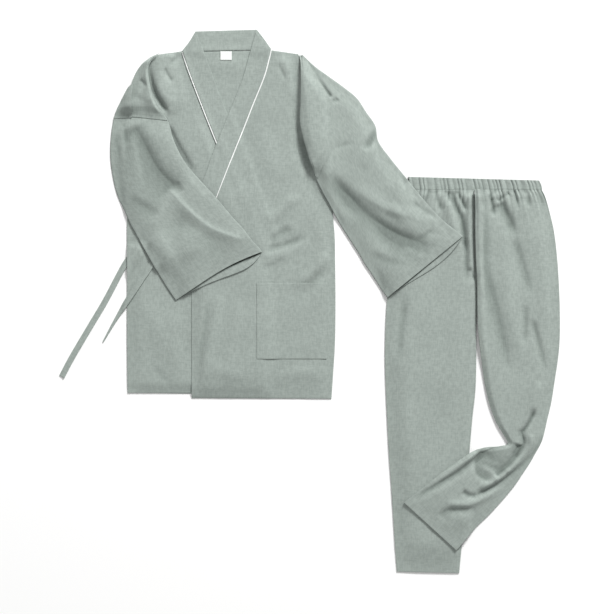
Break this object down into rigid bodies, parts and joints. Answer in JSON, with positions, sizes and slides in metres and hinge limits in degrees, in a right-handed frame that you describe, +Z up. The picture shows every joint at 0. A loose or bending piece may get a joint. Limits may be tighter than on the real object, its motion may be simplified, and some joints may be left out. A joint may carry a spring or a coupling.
{
  "type": "jinbei set, a wrap jacket and trousers laid flat",
  "caption": "Plain cotton jinbei laid flat: a wrap jacket with piped collar, pocket and ties, its sleeves folded over, beside gathered trousers with one leg bent.",
  "frame": {"origin": "centre of the laid-out set's plan, on the surface that it lies on", "axes": "+X to the right of the picture, +Y from the hems to the collar, +Z up from the surface"},
  "size_m": [1.1011, 1.195, 0.022],
  "materials": {
    "cotton": "plain slub weave, matt, sage green",
    "white_trim": "smooth white cotton"
  },
  "bodies": {
    "root": {"back": "cotton", "collar_back": "cotton", "label": "white_trim", "front_right": "cotton", "piping_right": "white_trim", "collar_right": "cotton", "front_left": "cotton", "piping_left": "white_trim", "collar_left": "cotton", "pocket": "cotton", "tie_side": "cotton", "tie_front": "cotton", "sleeve_right": "cotton", "shoulder_right": "cotton", "sleeve_right_head": "cotton", "shoulder_left": "cotton", "sleeve_left": "cotton", "leg_right_back": "cotton", "leg_right_front": "cotton", "leg_left_back": "cotton", "leg_left_front": "cotton", "waistband": "cotton"}
  },
  "joints": []
}
